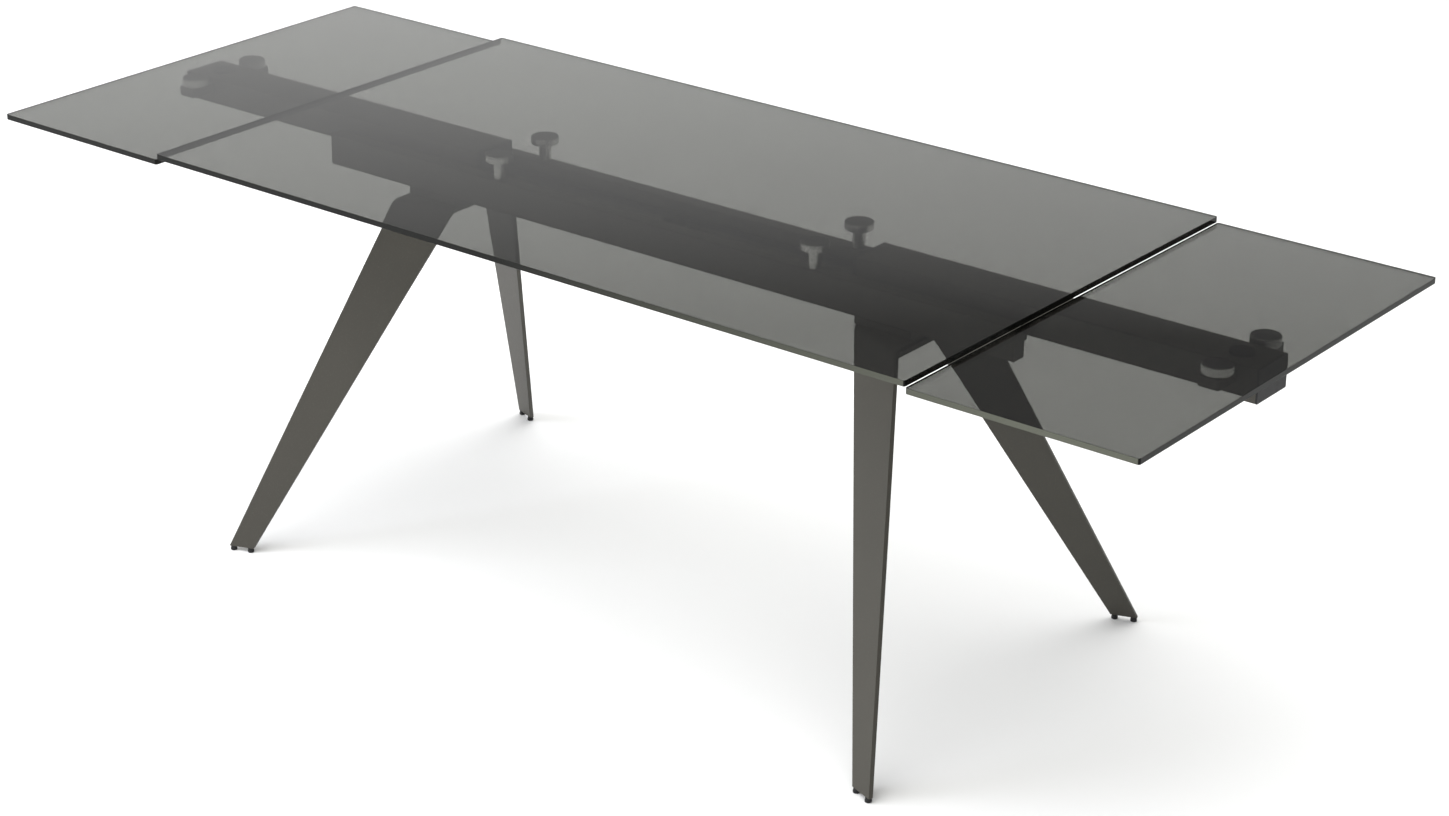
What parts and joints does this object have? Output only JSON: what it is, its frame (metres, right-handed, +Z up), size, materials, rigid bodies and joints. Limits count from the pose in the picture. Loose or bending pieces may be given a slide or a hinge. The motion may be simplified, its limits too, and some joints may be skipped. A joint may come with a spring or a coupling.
{
  "type": "extendable dining table",
  "caption": "Rectangular extending dining table with a tempered grey glass top, pull-out glass end leaves that rise flush, and splayed sheet-steel legs.",
  "frame": {"origin": "middle of the table's length and width, on the floor under it", "axes": "+X along the table's length towards the right leaf, +Y across it towards the rear bar, +Z up"},
  "size_m": [2.4, 0.9, 0.762],
  "materials": {
    "float_glass": "tempered grey glass, polished edges",
    "coated_steel": "satin grey powder coat",
    "polished_steel": "turned and polished stainless steel",
    "zinc_steel": "bright zinc-plated steel",
    "black_nylon": "moulded black nylon",
    "black_rubber": "matt black rubber"
  },
  "bodies": {
    "frame": {"middle_glass": "float_glass", "front_left_post_stem": "polished_steel", "front_left_post_disc": "polished_steel", "front_right_post_stem": "polished_steel", "front_right_post_disc": "polished_steel", "rear_left_post_stem": "polished_steel", "rear_left_post_disc": "polished_steel", "rear_right_post_stem": "polished_steel", "rear_right_post_disc": "polished_steel", "front_bar": "coated_steel", "rear_bar": "coated_steel", "front_left_bar_cap": "coated_steel", "front_right_bar_cap": "coated_steel", "rear_left_bar_cap": "coated_steel", "rear_right_bar_cap": "coated_steel", "front_guide_rail": "black_nylon", "rear_guide_rail": "black_nylon", "left_stop_tie": "coated_steel", "right_stop_tie": "coated_steel", "middle_tie": "coated_steel", "middle_buffer": "black_rubber", "front_left_leg": "coated_steel", "rear_left_leg": "coated_steel", "front_right_leg": "coated_steel", "rear_right_leg": "coated_steel", "left_spacer_plate": "coated_steel", "left_flange_plate": "coated_steel", "left_tie_plate": "coated_steel", "right_spacer_plate": "coated_steel", "right_flange_plate": "coated_steel", "right_tie_plate": "coated_steel", "front_left_leg_bolt": "zinc_steel", "rear_left_leg_bolt": "zinc_steel", "front_right_leg_bolt": "zinc_steel", "rear_right_leg_bolt": "zinc_steel"},
    "left_slide": {"left_slide_tube": "coated_steel", "left_slide_end_cap": "black_nylon", "left_slide_plug": "black_nylon", "left_crossbar": "coated_steel", "left_boss": "black_rubber"},
    "right_slide": {"right_slide_tube": "coated_steel", "right_slide_end_cap": "black_nylon", "right_slide_plug": "black_nylon", "right_crossbar": "coated_steel", "right_boss": "black_rubber"},
    "left_leaf": {"left_leaf_glass": "float_glass", "front_left_puck": "polished_steel", "rear_left_puck": "polished_steel"},
    "right_leaf": {"right_leaf_glass": "float_glass", "front_right_puck": "polished_steel", "rear_right_puck": "polished_steel"},
    "front_left_inner_glide": {"front_left_inner_glide": "black_nylon"},
    "front_left_outer_glide": {"front_left_outer_glide": "black_nylon"},
    "rear_left_inner_glide": {"rear_left_inner_glide": "black_nylon"},
    "rear_left_outer_glide": {"rear_left_outer_glide": "black_nylon"},
    "front_right_inner_glide": {"front_right_inner_glide": "black_nylon"},
    "front_right_outer_glide": {"front_right_outer_glide": "black_nylon"},
    "rear_right_inner_glide": {"rear_right_inner_glide": "black_nylon"},
    "rear_right_outer_glide": {"rear_right_outer_glide": "black_nylon"}
  },
  "joints": [
    {"name": "left_slide_in", "type": "slide", "parent": "frame", "child": "left_slide", "axis": [1, 0, 0], "range_m": [0, 0.4]},
    {"name": "right_slide_in", "type": "slide", "parent": "frame", "child": "right_slide", "axis": [-1, 0, 0], "range_m": [0, 0.4]},
    {"name": "left_leaf_drop", "type": "slide", "parent": "left_slide", "child": "left_leaf", "axis": [0, 0, -1], "range_m": [-0.0105, 0]},
    {"name": "right_leaf_drop", "type": "slide", "parent": "right_slide", "child": "right_leaf", "axis": [0, 0, -1], "range_m": [-0.0105, 0]},
    {"name": "front_left_inner_glide_screw", "type": "slide", "parent": "frame", "child": "front_left_inner_glide", "axis": [0, 0, -1], "range_m": [0, 0.003]},
    {"name": "front_left_outer_glide_screw", "type": "slide", "parent": "frame", "child": "front_left_outer_glide", "axis": [0, 0, -1], "range_m": [0, 0.003]},
    {"name": "rear_left_inner_glide_screw", "type": "slide", "parent": "frame", "child": "rear_left_inner_glide", "axis": [0, 0, -1], "range_m": [0, 0.003]},
    {"name": "rear_left_outer_glide_screw", "type": "slide", "parent": "frame", "child": "rear_left_outer_glide", "axis": [0, 0, -1], "range_m": [0, 0.003]},
    {"name": "front_right_inner_glide_screw", "type": "slide", "parent": "frame", "child": "front_right_inner_glide", "axis": [0, 0, -1], "range_m": [0, 0.003]},
    {"name": "front_right_outer_glide_screw", "type": "slide", "parent": "frame", "child": "front_right_outer_glide", "axis": [0, 0, -1], "range_m": [0, 0.003]},
    {"name": "rear_right_inner_glide_screw", "type": "slide", "parent": "frame", "child": "rear_right_inner_glide", "axis": [0, 0, -1], "range_m": [0, 0.003]},
    {"name": "rear_right_outer_glide_screw", "type": "slide", "parent": "frame", "child": "rear_right_outer_glide", "axis": [0, 0, -1], "range_m": [0, 0.003]}
  ]
}
